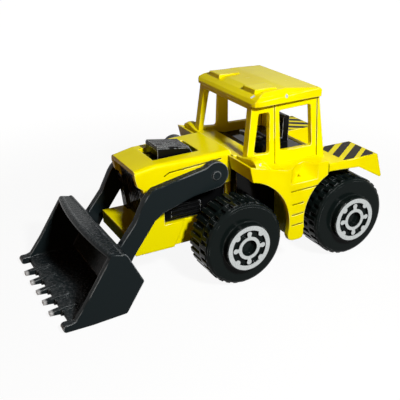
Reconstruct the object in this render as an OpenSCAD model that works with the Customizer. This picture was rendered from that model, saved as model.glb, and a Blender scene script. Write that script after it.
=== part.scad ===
// Die-cast toy tractor shovel: wheeled loader with a lifting front bucket.
// +X forward, +Y to the left, +Z up. The origin is on the floor, under the middle of the model.
// Side outlines are drawn in the chassis frame: x from the front axle, h from the underside of the base.

/* [Overall] */
// From the front axle back to the tips of the rear wings
tail_reach = 34; // [33:0.1:38]

/* [Wheels and axles] */
// Distance between the axles
wheelbase = 25.75; // [25:0.05:27]
// Radius over the tread
wheel_r = 8.7; // [8:0.05:9.2]
// Width of the tyre from its inner face to its flat sidewall
tyre_w = 7.25; // [6:0.05:7.6]
// Width over the hub faces of one axle
hub_span = 35.6; // [35:0.1:38]
// How far the hub stands out of the sidewall
hub_proud = 1.6; // [0.8:0.05:2]
// Radius of the hub barrel
hub_r = 4.95; // [4:0.05:5.6]
// Depth of the tread grooves
tread_depth = 0.45; // [0.3:0.05:0.8]
// Number of tread bars round the tyre
lug_count = 30; // [20:1:36]
// Share of the tread width that the long inner bars take
bar_share = 0.62; // [0.5:0.01:0.75]
// Depth of the recess in the hub face
hub_relief = 0.6; // [0.3:0.05:1]
// Radius of the dark hole in the middle of the hub
hub_eye_r = 1.7; // [1.4:0.05:2]
// Radius of the axle wire
axle_r = 0.65; // [0.5:0.05:0.8]
// Radius of the swaged head at each axle end
axle_head_r = 0.95; // [0.9:0.05:1.1]
// Length of the swaged head
axle_head_l = 0.8; // [0.5:0.05:1.2]
// Height of the axle centre above the underside of the base
axle_above_base = 1.9; // [1.7:0.05:2.4]
// Thickness of the bright foil on the hub
foil_t = 0.1; // [0.06:0.01:0.2]

/* [Fits] */
// Radial clearance of parts that turn
run_clear = 0.05; // [0.02:0.01:0.08]
// Gap at the seams between fixed pieces
seam = 0.04; // [0.02:0.01:0.1]
// Open joint between the two castings behind the doors
casting_gap = 0.2; // [0.05:0.01:0.3]
// Gap round an insert seen in a window of the casting
insert_gap = 0.15; // [0.05:0.01:0.3]

/* [Hood and front frame] */
// Front edge of the hood
hood_front_x = 18.4; // [17.5:0.1:19.5]
// How far each side of the hood stands out of the frame at its front
hood_front_over = 0.15; // [0.05:0.05:0.6]
// How far it stands out at the cab
hood_rear_over = 1.2; // [0.7:0.05:1.5]
// How far the hood's front edge lies below its crest
hood_front_drop = 0.9; // [0.4:0.05:1.4]
// Height of the hood's crest
hood_crest_h = 18.3; // [17.8:0.1:19]
// Rounding of the hood's long edges
hood_edge_r = 0.9; // [0.3:0.05:1.2]
// Lower edge of the hood side
hood_skirt_h = 11.8; // [11.4:0.1:12.4]
// Thickness of the hood top
hood_wall = 1; // [0.7:0.05:1.3]
// Front edge of the hole that the air intake stands in
intake_hole_x = 13.45; // [13:0.05:14.5]
// Length of that hole
intake_hole_l = 10; // [9.4:0.1:11]
// Half width of that hole
intake_hole_half_w = 3.6; // [3.3:0.05:4.2]
// Gap between the frame sides and the wheel wells
well_gap = 1.25; // [1:0.05:1.5]
// Gap between the wheel wells and the tyres
well_clear = 0.6; // [0.4:0.05:0.8]
// Thickness of the frame's side walls
frame_wall = 0.9; // [0.7:0.05:1.2]
// Front edge of the engine window in the frame
engine_window_x = 12.8; // [12:0.1:13.4]
// Length of the engine window
engine_window_l = 14.2; // [13:0.1:14.6]
// Height of the engine window
engine_window_tall = 5.8; // [5:0.1:6.2]
// How far each side of the bumper block stands out of the frame
bumper_over = 0.75; // [0.4:0.05:1.2]
// Front face of the bumper block
bumper_front_x = 21; // [20:0.1:21.6]
// Height of the top of the bumper block
bumper_h = 5.25; // [4.8:0.05:5.8]
// Thickness of the bumper's plates
bumper_wall = 1; // [0.7:0.05:1.3]

/* [Fenders and cab] */
// Half width over the fenders
fender_half_w = 15.6; // [15:0.05:16]
// Wall of the cast fenders
fender_wall = 1.2; // [0.9:0.05:1.5]
// Front face of the fenders
fender_front_x = -1.3; // [-1.6:0.05:-1]
// Rise of the fender's front lip above the level step
fender_lip_rise = 2.2; // [1.6:0.05:2.8]
// Rear end of the ramp on the fender's top
ramp_end_x = -9.9; // [-10.3:0.05:-9.5]
// Height of the level step beside the door
fender_step_h = 15.4; // [15:0.05:16]
// Radius of the front wheel arch
front_arch_r = 11; // [10.4:0.05:11.4]
// Radius of the rear wheel arch
rear_arch_r = 9.45; // [9.2:0.05:9.8]
// Half width of the cab where it stands on the fenders
cab_half_w = 11.2; // [10.6:0.05:11.8]
// Lean of the cab sides
cab_lean = 3; // [0:0.1:5]
// Thickness of the cab sides
cab_wall = 1.1; // [0.8:0.05:1.4]
// Width of the windscreen posts seen from the front
post_w = 1.7; // [1.4:0.05:2.2]
// Height of the header over the windscreen
header_t = 0.75; // [0.5:0.05:1.5]
// Rear edge of the dash shelf behind the windscreen
dash_x = -7.4; // [-7.8:0.05:-6.6]
// How far the dash shelf's rear edge lies below the lip
dash_drop = 0.5; // [0.1:0.05:0.7]
// Rise of the fender's crown above the lip, at its outer end
crown_rise = 0.85; // [0.6:0.05:1.2]
// Length of the crown
crown_l = 3.6; // [3:0.05:4.4]
// Rear edge of the cab sides
cab_rear_x = -19.9; // [-20.4:0.05:-19.6]
// Rounding of the window corners
window_r = 0.5; // [0.2:0.05:0.8]

/* [Roof and rear wings] */
// Half width of the roof at the eaves
roof_half_w = 12; // [11.4:0.05:12.6]
// How much narrower each side of the roof is at its rear
roof_taper = 0.6; // [0:0.05:1]
// Height of the underside of the eaves above the level step
cab_tall = 12.45; // [12.2:0.05:13.6]
// Height of the upright edge of the eaves
eave_t = 1.15; // [0.6:0.05:1.3]
// Rise of the roof from the eaves to its crest near the front
roof_rise = 2.4; // [2.2:0.05:3]
// Front edge of the eaves
roof_front_x = -4.4; // [-4.6:0.05:-3.6]
// Height of the lamps on the roof
lamp_t = 0.35; // [0.2:0.05:0.8]
// Thickness of the roof's top
roof_wall = 1; // [0.8:0.05:1.3]
// How far the top of the rear wings lies below the level step
wing_drop = 0.65; // [0.4:0.05:0.7]
// Rise of the rear window's sill above the wings
sill_rise = 1.35; // [1:0.05:1.6]
// Thickness of the wing plates
wing_wall = 1.4; // [1:0.05:1.6]
// Inner edge of the wings from the centre plane
wing_in = 6.3; // [6.1:0.05:6.6]
// Height of the deck between the wings
deck_h = 8.2; // [7.6:0.1:9]
// Thickness of the deck
deck_t = 1.1; // [0.8:0.05:1.4]

/* [Base and rivets] */
// Thickness of the base plate
base_t = 1; // [0.8:0.05:1.2]
// Radius of the rivet posts
post_r = 1.7; // [1.5:0.05:2]
// Radius of the rivet shanks
rivet_r = 0.8; // [0.6:0.05:0.9]
// Radius of the rivet heads
rivet_head_r = 1.4; // [1.2:0.05:1.6]
// Thickness of the rivet heads, sunk in the base
rivet_head_t = 0.5; // [0.3:0.05:0.6]

/* [Engine, grille and cab inside] */
// Front face of the air intake
intake_x = 12.15; // [11.6:0.05:12.8]
// Length of the air intake
intake_l = 7.65; // [7:0.05:8.2]
// Half width of the air intake
intake_half_w = 2.9; // [2.5:0.05:3.1]
// Height of the air intake's front edge
intake_h = 20; // [19.2:0.1:20.6]
// Number of ribs on the air intake
intake_ribs = 6; // [4:1:8]
// How far the engine ribs stand out of the engine side
engine_rib_t = 0.4; // [0.2:0.05:0.6]
// Number of slots in the radiator grille
grille_slots = 9; // [5:1:11]
// Setback of the grille's head from the hood's front edge
grille_head_back = 1.2; // [1:0.05:1.4]
// Setback of the grille's foot
grille_foot_back = 2.6; // [2.2:0.05:3]
// Thickness of the radiator grille
grille_t = 1; // [0.8:0.05:1.2]
// Thickness of the cab floor
floor_t = 0.8; // [0.6:0.05:1]
// Half width of the seat
seat_half_w = 3; // [2.4:0.05:3.6]
// Height of the seat back above the cab floor
seat_back_tall = 5.8; // [4:0.1:7]
// Radius of the steering wheel
steering_r = 2.75; // [2:0.05:3]

/* [Shovel] */
// Lift pivot forward of the front axle
pivot_x = 2.8; // [2.6:0.05:3.2]
// Height of the lift pivot
pivot_h = 15; // [14.6:0.05:15.4]
// Radius of the stub pins
pivot_pin_r = 1.1; // [0.9:0.05:1.3]
// Radius of the round arm ends
arm_end_r = 2.7; // [2.4:0.05:2.9]
// Gap between the hood sides and the arms
arm_gap = 1.1; // [0.8:0.05:1.6]
// Thickness of the arms
arm_t = 1.6; // [1.2:0.05:1.8]
// Gap between the bumper block and the back of the bucket
bucket_clear = 0.45; // [0.4:0.05:1.5]
// Depth of the bucket from its back to the cutting edge
bucket_depth = 13.4; // [12.6:0.1:14.2]
// Half width of the bucket
bucket_half_w = 15.4; // [14.6:0.05:16.2]
// Thickness of the bucket walls
bucket_t = 1.1; // [0.8:0.05:1.4]
// How far the top lip bows forward at mid width
lip_bow = 1.3; // [0.5:0.05:2]
// Height of the bucket's top lip above the floor
bucket_lip_z = 13.1; // [12.4:0.1:13.8]
// Gap between the lowered bucket and the floor
bucket_gap = 0.1; // [0.05:0.05:0.4]
// Number of narrow teeth
tooth_count = 5; // [3:2:5]
// Distance between the narrow teeth
tooth_pitch = 4.3; // [3.6:0.05:4.4]
// Width of a tooth
tooth_w = 1.05; // [0.8:0.05:1.3]
// Length of a tooth in front of the cutting edge
tooth_l = 2.8; // [1.8:0.05:3.2]
// Width of the corner caps
cap_w = 1.7; // [1.4:0.05:2.4]

/* [Hidden] */
$fn = 64;
eps = 0.02;
edge_x = bumper_front_x + bucket_clear + bucket_t / 2 + bucket_depth;
bucket_reach = edge_x + tooth_l;
front_axle_x = (wheelbase + wheel_r - bucket_reach) / 2;
base_z = wheel_r - axle_above_base;
rear_axle_x = -wheelbase;
tyre_in = hub_span / 2 - hub_proud - tyre_w;
arch_wall_out = tyre_in - well_clear;
frame_half_w = arch_wall_out - fender_wall - well_gap;
frame_in = frame_half_w - frame_wall;
insert_half_w = frame_in - seam;
hood_front_half_w = frame_half_w + hood_front_over;
hood_rear_half_w = frame_half_w + hood_rear_over;
hood_front_h = hood_crest_h - hood_front_drop;
bumper_half_w = frame_half_w + bumper_over;
fender_lip_h = fender_step_h + fender_lip_rise;
lip_foot_h = fender_lip_h - 3;
dash_h = fender_lip_h - dash_drop;
eave_h = fender_step_h + cab_tall;
wing_h = fender_step_h - wing_drop;
arm_in = hood_rear_half_w + arm_gap;
arm_out = arm_in + arm_t;
wing_tip_x = -tail_reach;
wing_front_x = cab_rear_x - casting_gap;
roof_rear_x = wing_front_x - 0.36;
rivet_front_x = bumper_front_x - post_r - 2.7;
rivet_rear_x = rear_axle_x - axle_r - post_r - 0.95;
rivet_hole_l = 3;
tail_x = rivet_rear_x - post_r - frame_wall - 0.3;
well_front_x = fender_front_x - fender_wall - seam;
bulkhead_x = well_front_x - fender_wall;
pillar_x = [-10.46, -14.28];
pillar_foot_h = -0.36;
foil_r = hub_r - 0.25;

paint = "gold";
black = "#20262a";
bright = "silver";

// Puts a piece drawn in the chassis frame in its place
module on_chassis() {
    translate([front_axle_x, 0, base_z]) children();
}

// Extrudes a side outline across the width
module across(half_w) {
    rotate([90, 0, 0]) linear_extrude(2 * half_w, center = true) children();
}

// Extrudes a side outline between two distances from the centre plane, on both sides
module both_sides(y_in, y_out) {
    for (edge = [y_out, -y_in])
        translate([0, edge, 0]) rotate([90, 0, 0]) linear_extrude(y_out - y_in) children();
}

// A bar along Y between two distances from the centre plane, on both sides
module cross_pins(x, h, r, y_in, y_out) {
    for (edge = [y_out, -y_in])
        translate([x, edge, h]) rotate([90, 0, 0]) cylinder(r = r, h = y_out - y_in);
}

// Unit vector from one point to another
function toward(a, b) = (b - a) / norm(b - a);

// Points of an outline with every corner rounded
function rounded(pts, r, steps = 5) = let (n = len(pts)) [
    for (i = [0 : n - 1])
        let (p = pts[i],
             u = toward(p, pts[(i + n - 1) % n]),
             v = toward(p, pts[(i + 1) % n]),
             half = acos(u * v) / 2,
             mid = p + toward([0, 0], u + v) * r / sin(half),
             a = p + u * r / tan(half) - mid,
             b = p + v * r / tan(half) - mid)
        for (k = [0 : steps])
            let (w = a * (1 - k / steps) + b * (k / steps)) mid + w * r / norm(w)
];

// A bent strip of even thickness along a path, with round bends
module strip(path, t) {
    for (i = [0 : len(path) - 2])
        let (d = toward(path[i], path[i + 1]), n = [-d.y, d.x] * t / 2)
            polygon([path[i] - n, path[i + 1] - n, path[i + 1] + n, path[i] + n]);
    for (p = path)
        translate(p) circle(d = t);
}

// Height of the fender top: a ramp from the front lip down to the level step
function fender_top(x) = x < ramp_end_x ? fender_step_h
    : fender_step_h + (fender_lip_h - fender_step_h) * (x - ramp_end_x) / (fender_front_x - ramp_end_x);

// Hood: rounded shell, open below and in front, with the hole for the air intake
module hood() {
    stations = [[hood_front_x, hood_front_half_w, hood_front_h],
                [hood_front_x - 4.4, hood_front_half_w + 0.35, hood_crest_h - 0.15],
                [pivot_x, hood_rear_half_w, hood_crest_h],
                [fender_front_x - 0.6, hood_rear_half_w + 0.05, hood_crest_h + 0.1]];
    difference() {
        hull()
            for (s = stations) {
                translate([s[0] - 0.1, -s[1], hood_skirt_h]) cube([0.1, 2 * s[1], 0.1]);
                for (side = [-1, 1])
                    translate([s[0] - 0.1, side * (s[1] - hood_edge_r), s[2] - hood_edge_r])
                        rotate([0, 90, 0]) cylinder(r = hood_edge_r, h = 0.1, $fn = 32);
            }
        across(frame_in) polygon([
            [hood_front_x + 1, hood_skirt_h - 1],
            [hood_front_x + 1, hood_front_h - hood_wall],
            [hood_front_x - 4.4, hood_crest_h - 0.15 - hood_wall],
            [fender_front_x, hood_crest_h - 0.15 - hood_wall],
            [fender_front_x, hood_skirt_h - 1]]);
        across(hood_rear_half_w + 1) polygon([
            [hood_front_x + 0.1, hood_front_h - 0.9],
            [hood_front_x - 0.4, hood_front_h - 3.1],
            [hood_front_x - 1.5, hood_front_h - 4],
            [hood_front_x - 1.8, hood_skirt_h - 1],
            [hood_front_x + 1, hood_skirt_h - 1],
            [hood_front_x + 1, hood_front_h - 0.9]]);
        translate([intake_hole_x - intake_hole_l, -intake_hole_half_w, hood_crest_h - 3])
            cube([intake_hole_l, 2 * intake_hole_half_w, 4]);
        hood_crease();
    }
}

// Engraved crease along the hood side, with its front end turned down
module hood_crease() {
    both_sides(hood_front_half_w + 0.1, hood_rear_half_w + 1) {
        strip([[11.4, hood_front_h - 1.25], [pivot_x - 2.5, hood_crest_h - 1.15]], 0.25);
        strip([[12.4, hood_front_h - 1.85], [11.4, hood_front_h - 1.25]], 0.25);
    }
}

// Side walls of the chassis with the engine windows
module frame_sides() {
    both_sides(frame_in, frame_half_w) difference() {
        polygon([
            [hood_front_x - 1.5, hood_skirt_h + 1],
            [hood_front_x - 2.3, bumper_h],
            [hood_front_x - 2.3, 0],
            [well_front_x + seam, 0],
            [well_front_x + seam, base_t + seam],
            [cab_rear_x, base_t + seam],
            [cab_rear_x, 0],
            [tail_x, 0],
            [tail_x, deck_h],
            [cab_rear_x, deck_h],
            [cab_rear_x, fender_step_h - 0.5],
            [fender_front_x - 1, fender_step_h - 0.5],
            [fender_front_x - 1, hood_skirt_h + 1]]);
        translate([engine_window_x - engine_window_l, bumper_h])
            square([engine_window_l, engine_window_tall]);
    }
    across(frame_half_w) {
        translate([tail_x, deck_h - frame_wall]) square([cab_rear_x - tail_x, frame_wall]);
        translate([tail_x, 0]) square([frame_wall, deck_h]);
    }
}

// Bumper block under the radiator: two skirts, a strut beside the engine, a top and a front plate
module bumper() {
    both_sides(frame_in, bumper_half_w) polygon([
        [bumper_front_x, bumper_h],
        [bumper_front_x, bumper_h - 1.65],
        [bumper_front_x - 1.7, 0],
        [10.9, 0],
        [8.4, bumper_h]]);
    both_sides(frame_in, bumper_half_w) polygon([
        [hood_front_x - 2.3, bumper_h - eps],
        [engine_window_x, bumper_h - eps],
        [engine_window_x, hood_skirt_h],
        [hood_front_x - 2.3, hood_skirt_h]]);
    across(bumper_half_w) {
        translate([hood_front_x - 3.6, bumper_h - bumper_wall])
            square([bumper_front_x - hood_front_x + 3.6, bumper_wall]);
        translate([bumper_front_x - bumper_wall, 2.5]) square([bumper_wall, bumper_h - 2.5]);
    }
    translate([rivet_front_x, 0, base_t]) cylinder(r = post_r, h = bumper_h - base_t - eps);
}

// Outer skin of the fenders with both wheel arches and the step pillar
module fender_skin() {
    difference() {
        polygon([
            [fender_front_x, fender_lip_h],
            [ramp_end_x, fender_step_h],
            [cab_rear_x, fender_step_h],
            [cab_rear_x, axle_above_base],
            [pillar_x[1], axle_above_base],
            [pillar_x[1], pillar_foot_h + 0.8],
            [pillar_x[1] + 0.25, pillar_foot_h + 0.25],
            [pillar_x[1] + 0.8, pillar_foot_h],
            [pillar_x[0] - 1.2, pillar_foot_h],
            [pillar_x[0] - 0.35, pillar_foot_h + 0.35],
            [pillar_x[0], pillar_foot_h + 1.2],
            [pillar_x[0], axle_above_base],
            [fender_front_x - 0.7, axle_above_base],
            [fender_front_x - 0.7, lip_foot_h]]);
        translate([pillar_x[0] + front_arch_r - 0.3, axle_above_base + 1.8]) circle(front_arch_r);
        translate([pillar_x[1] - rear_arch_r, axle_above_base + 1.95]) circle(rear_arch_r);
        translate([pillar_x[0], pillar_foot_h]) square([20, axle_above_base - pillar_foot_h + 3.6]);
    }
}

// Fenders: skin, top with the ramp, front wall and the web behind the pillar
module fenders() {
    skin_in = fender_half_w - fender_wall;
    both_sides(skin_in, fender_half_w) fender_skin();
    across(fender_half_w) polygon([
        [fender_front_x, fender_lip_h],
        [ramp_end_x, fender_step_h],
        [cab_rear_x, fender_step_h],
        [cab_rear_x, fender_step_h - fender_wall],
        [ramp_end_x, fender_step_h - fender_wall],
        [fender_front_x - fender_wall, fender_top(fender_front_x - fender_wall) - fender_wall],
        [fender_front_x - fender_wall, lip_foot_h],
        [fender_front_x - 0.7, lip_foot_h]]);
    both_sides(frame_in, arch_wall_out) translate([fender_front_x - 2 * fender_wall, lip_foot_h])
        square([fender_wall, fender_lip_h - fender_wall - lip_foot_h]);
    across(frame_in + eps) translate([fender_front_x - 2 * fender_wall, deck_h])
        square([fender_wall, hood_crest_h - hood_wall - deck_h]);
    both_sides(arch_wall_out + seam, skin_in + eps)
        translate([(pillar_x[0] + pillar_x[1]) / 2 - fender_wall / 2, 0])
            square([fender_wall, fender_step_h - 0.5]);
}

// Side outline of the fender's crown, with its top at a rise above the lip
function crown_outline(rise) = let (x = fender_front_x - 1.5, h = fender_lip_h + rise) [
    [x, fender_lip_h - 1.6], [x, h - 0.25], [x - crown_l * 0.2, h], [x - crown_l * 0.5, h - 0.1],
    [x - crown_l * 0.8, h - crown_rise], [x - crown_l, fender_lip_h - 1.6]];

// Crown of each fender behind the front lip: low at the hood and round at its outer end
module fender_crowns() {
    stations = [[hood_rear_half_w + 0.6, -0.3], [fender_half_w - 2.4, crown_rise],
                [fender_half_w - 1.2, crown_rise - 0.1], [fender_half_w - 0.5, crown_rise - 0.45],
                [fender_half_w - 0.1, crown_rise - 1.1]];
    for (side = [0, 1]) mirror([0, side, 0])
        hull()
            for (at = stations)
                translate([0, at[0], 0]) rotate([90, 0, 0]) linear_extrude(0.05)
                    polygon(crown_outline(at[1]));
}

// Thick corner of the fender that the sunk pocket is cut into
module pocket_backing() {
    both_sides(cab_half_w - 0.3, fender_half_w - fender_wall + eps) polygon([
        [-9.9, fender_step_h - 0.4], [-18.6, fender_step_h - 0.4], [-18.4, fender_step_h - 3.9],
        [-15.8, fender_step_h - 4.4], [-10.4, fender_step_h - 4.2]]);
}

// Cuts in the fenders: slot behind the front lip, sunk pocket, seam and step lines
module fender_cuts() {
    groove = 0.25;
    both_sides(hood_rear_half_w + 1, fender_half_w - 0.7)
        translate([fender_front_x - 1.5, fender_lip_h - 1.2]) square([0.8, 3]);
    for (side = [0, 1]) mirror([0, side, 0])
        translate([0, fender_half_w, fender_step_h - 3.25]) hull()
            for (at = [[-14.8, -3.3, 0], [-15.95, -1.9, 6]])
                translate([0, 0, at[2]]) linear_extrude(0.05)
                    polygon([[-10.9, 1], [-10.9, 0], [at[0], at[1]], [-17.35, 0], [-17.35, 1]]);
    both_sides(fender_half_w - groove, fender_half_w + 1) {
        strip([[-11, 10.55], [-17.2, 10.65]], groove);
        for (k = [0 : 2])
            strip([[pillar_x[0] - 1, 3 + 2.3 * k], [pillar_x[1] + 0.3, 3.1 + 2.3 * k]], groove);
    }
}

// Outline of the quarter window and the door window, in the plane of the cab side
quarter_window = [[-4.85, 3.1], [-8.5, 2.75], [-8.66, 11.15], [-6.2, 11.2]];
door_window = [[-11.1, 2.9], [-18.75, 2.7], [-18.4, 11.4], [-10.9, 11.2]];

// Moves a flat outline into the leaning plane of the left cab side
module on_cab_side(t) {
    translate([0, cab_half_w, fender_step_h - 0.4]) rotate([cab_lean, 0, 0])
        rotate([90, 0, 0]) linear_extrude(t) children();
}

// Cab sides with their windows and the two windscreen posts
module cab_sides() {
    tall = eave_h - fender_step_h + 2;
    difference() {
        for (side = [0, 1]) mirror([0, side, 0]) {
            difference() {
                on_cab_side(cab_wall) difference() {
                    polygon([[-2.9, 0], [-3.45, 3.5], [-4.85, tall], [cab_rear_x, tall], [cab_rear_x, 0]]);
                    polygon(rounded(quarter_window, window_r));
                    polygon(rounded(door_window, window_r));
                }
                translate([0, eps, 0]) on_cab_side(0.2)
                    strip([[-9.8, 0.3], [-9.8, tall]], 0.25);
            }
            on_cab_side(post_w)
                polygon([[-2.9, 0], [-3.45, 3.5], [-4.85, tall], [-5.9, tall], [-4.6, 3.5], [-4.2, 0]]);
        }
        translate([-30, -20, eave_h]) cube([40, 40, 10]);
    }
    across(cab_half_w - 0.7) polygon([
        [-4.5, eave_h - header_t], [-4.6, eave_h], [-6, eave_h], [-5.8, eave_h - header_t]]);
    across(cab_half_w - cab_wall) polygon([
        [fender_front_x - 0.7, fender_lip_h], [dash_x, dash_h], [dash_x, fender_top(dash_x) - 0.5],
        [fender_front_x - 0.7, fender_lip_h - 1]]);
}

// Main casting: hood, front frame, bumper, fenders and cab sides in one piece
module body_casting() {
    color(paint) on_chassis() difference() {
        union() {
            hood();
            frame_sides();
            bumper();
            fenders();
            fender_crowns();
            pocket_backing();
            cab_sides();
        }
        fender_cuts();
        cross_pins(pivot_x, pivot_h, pivot_pin_r + run_clear, frame_in - 1, arm_in);
        for (x = [0, rear_axle_x]) axle_slot(x);
        translate([rivet_front_x, 0, 0]) cylinder(r = rivet_r, h = rivet_hole_l);
        translate([rivet_rear_x, 0, deck_h - 2]) cylinder(r = post_r + seam, h = 4);
    }
}

// Slot that lets an axle drop into the frame from below
module axle_slot(x) {
    slot_r = axle_r + seam;
    translate([x, 0, axle_above_base]) {
        rotate([90, 0, 0]) cylinder(r = slot_r, h = 2 * frame_half_w + 2, center = true);
        translate([-slot_r, -frame_half_w - 1, -5]) cube([2 * slot_r, 2 * frame_half_w + 2, 5]);
    }
}

// Roof slab with bevelled eaves, crested near its front and hollow below
module roof() {
    top_h = eave_h + roof_rise;
    rim_h = eave_h + eave_t;
    difference() {
        intersection() {
            across(roof_half_w) polygon([
                [roof_front_x, eave_h], [roof_front_x, eave_h + eave_t * 0.45],
                [roof_front_x - 0.5, rim_h], [roof_front_x - 1.6, top_h - 0.6],
                [roof_front_x - 3.2, top_h - 0.1], [roof_front_x - 8.6, top_h], [roof_rear_x + 0.4, top_h - 0.6],
                [roof_rear_x, top_h - 1.1], [roof_rear_x + 0.1, eave_h]]);
            rotate([90, 0, -90]) linear_extrude(60, center = true) polygon([
                [-roof_half_w, eave_h], [-roof_half_w, rim_h - 0.15], [-roof_half_w + 0.6, rim_h + 0.55],
                [-roof_half_w + 2, top_h], [roof_half_w - 2, top_h], [roof_half_w - 0.6, rim_h + 0.55],
                [roof_half_w, rim_h - 0.15], [roof_half_w, eave_h]]);
            linear_extrude(top_h + 1) polygon([
                [roof_front_x, 1.2 - roof_half_w], [roof_front_x, roof_half_w - 1.2],
                [roof_front_x - 0.3, roof_half_w - 0.4], [roof_front_x - 1, roof_half_w],
                [roof_rear_x, roof_half_w - roof_taper], [roof_rear_x, roof_taper - roof_half_w],
                [roof_front_x - 1, -roof_half_w], [roof_front_x - 0.3, 0.4 - roof_half_w]]);
        }
        across(cab_half_w - 2.6) polygon([
            [roof_front_x - 2.6, eave_h - 1], [roof_front_x - 2.6, top_h - 0.1 - roof_wall],
            [cab_rear_x + 1.5, top_h - 0.8 - roof_wall], [cab_rear_x + 1.5, eave_h - 1]]);
    }
    for (side = [-1, 1])
        translate([0, side * 7, 0]) across(2.15) polygon([
            [roof_front_x - 1.6, top_h - 1], [roof_front_x - 1.75, top_h + lamp_t - 0.1],
            [roof_front_x - 2, top_h + lamp_t], [roof_front_x - 6.6, top_h + lamp_t / 2],
            [roof_front_x - 7, top_h - 0.3], [roof_front_x - 3.4, top_h - 1]]);
}

// Side outline of a rear wing with its turned-down tip
wing_bend_x = wing_tip_x + 1.5;
function wing_outline() = [
    [wing_front_x, wing_h], [wing_bend_x, wing_h - 0.1], [wing_tip_x, wing_h - 5.2],
    [wing_tip_x + 0.4, wing_h - 5.45], [wing_tip_x + 6.2, wing_h - 2.1],
    [wing_front_x - 1.3, wing_h - 1.65], [wing_front_x, wing_h - 1.65]];

// Rear wings: top and tail plates, outer skin, inner walls and the deck between them
module rear_wings() {
    outline = wing_outline();
    skin_in = fender_half_w - fender_wall;
    both_sides(skin_in, fender_half_w) polygon(outline);
    both_sides(wing_in, skin_in + eps) polygon([
        outline[0], outline[1], outline[2], outline[3],
        [wing_bend_x + 0.6, wing_h - wing_wall], [wing_front_x, wing_h - wing_wall]]);
    both_sides(wing_in, wing_in + fender_wall) polygon([
        outline[0], outline[1], [wing_bend_x - 0.4, wing_h - 1.5], [tail_x, deck_h], [wing_front_x, deck_h]]);
    across(wing_in + eps) translate([tail_x, deck_h])
        square([wing_front_x - tail_x, deck_t]);
    translate([rivet_rear_x, 0, base_t]) cylinder(r = post_r, h = deck_h - base_t + eps);
}

// Rear frame of the cab: two posts, a sill wall and a header round the rear window
module rear_frame() {
    tall = eave_h - fender_step_h + 2;
    sill_h = wing_h + sill_rise;
    difference() {
        for (side = [0, 1]) mirror([0, side, 0])
            on_cab_side(post_w + 0.4) polygon([
                [wing_front_x, -0.4], [wing_front_x, tall], [wing_front_x - 0.25, tall],
                [wing_front_x - 1.8, -0.4]]);
        translate([-30, -20, eave_h + eps]) cube([40, 40, 10]);
    }
    across(cab_half_w - 1) {
        translate([wing_front_x - 0.3, eave_h - 1.5]) square([0.3, 1.5 + eps]);
        polygon([[wing_front_x, wing_h - 0.5], [wing_front_x, sill_h], [wing_front_x - 0.9, sill_h],
                 [wing_front_x - 1.4, wing_h - 0.5]]);
    }
    across(wing_in + eps) translate([wing_front_x - 1.1, deck_h]) square([1.1, wing_h - deck_h]);
}

// Second casting: roof, rear cab frame and rear wings in one piece
module roof_casting() {
    color(paint) on_chassis() difference() {
        union() {
            roof();
            rear_frame();
            rear_wings();
        }
        translate([rivet_rear_x, 0, 0]) cylinder(r = rivet_r, h = rivet_hole_l);
    }
}

// Base moulding: plate between the frame sides with a nose under the bumper, a saddle for each axle
// and the inner walls of the wheel wells under the cab
module base_plate() {
    saddle_l = 2 * axle_r + 1.5;
    roof_slope = (fender_top(fender_front_x - fender_wall) - fender_step_h)
        / (fender_front_x - fender_wall - ramp_end_x);
    well_h = fender_step_h - fender_wall - seam;
    color(black) on_chassis() difference() {
        union() {
            across(insert_half_w) polygon([
                [bumper_front_x - 0.6, 2.5 - seam], [bumper_front_x - 1.7, 0],
                [tail_x + frame_wall + seam, 0], [tail_x + frame_wall + seam, base_t],
                [bumper_front_x - 2.6, base_t], [bumper_front_x - 1.8, 2.5 - seam]]);
            for (x = [0, rear_axle_x])
                across(insert_half_w - 0.6) translate([x - saddle_l / 2, base_t / 2])
                    square([saddle_l, axle_above_base - base_t / 2]);
            across(arch_wall_out) translate([cab_rear_x + seam, 0])
                square([well_front_x - cab_rear_x - seam, base_t]);
            both_sides(arch_wall_out - fender_wall, arch_wall_out) polygon([
                [well_front_x, 0], [well_front_x, lip_foot_h - seam], [bulkhead_x, lip_foot_h - seam],
                [bulkhead_x, well_h + roof_slope * (bulkhead_x - ramp_end_x)],
                [ramp_end_x, well_h], [cab_rear_x + seam, well_h], [cab_rear_x + seam, 0]]);
            both_sides(frame_half_w + seam, arch_wall_out) translate([bulkhead_x, 0])
                square([fender_wall, lip_foot_h - seam]);
        }
        for (x = [0, rear_axle_x])
            translate([x, 0, axle_above_base]) rotate([90, 0, 0])
                cylinder(r = axle_r + seam, h = 2 * frame_half_w, center = true);
        for (x = [rivet_front_x, rivet_rear_x])
            translate([x, 0, -1]) {
                cylinder(r = rivet_r + seam, h = 4);
                cylinder(r = rivet_head_r + 0.2, h = 1 + rivet_head_t);
            }
    }
}

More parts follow.
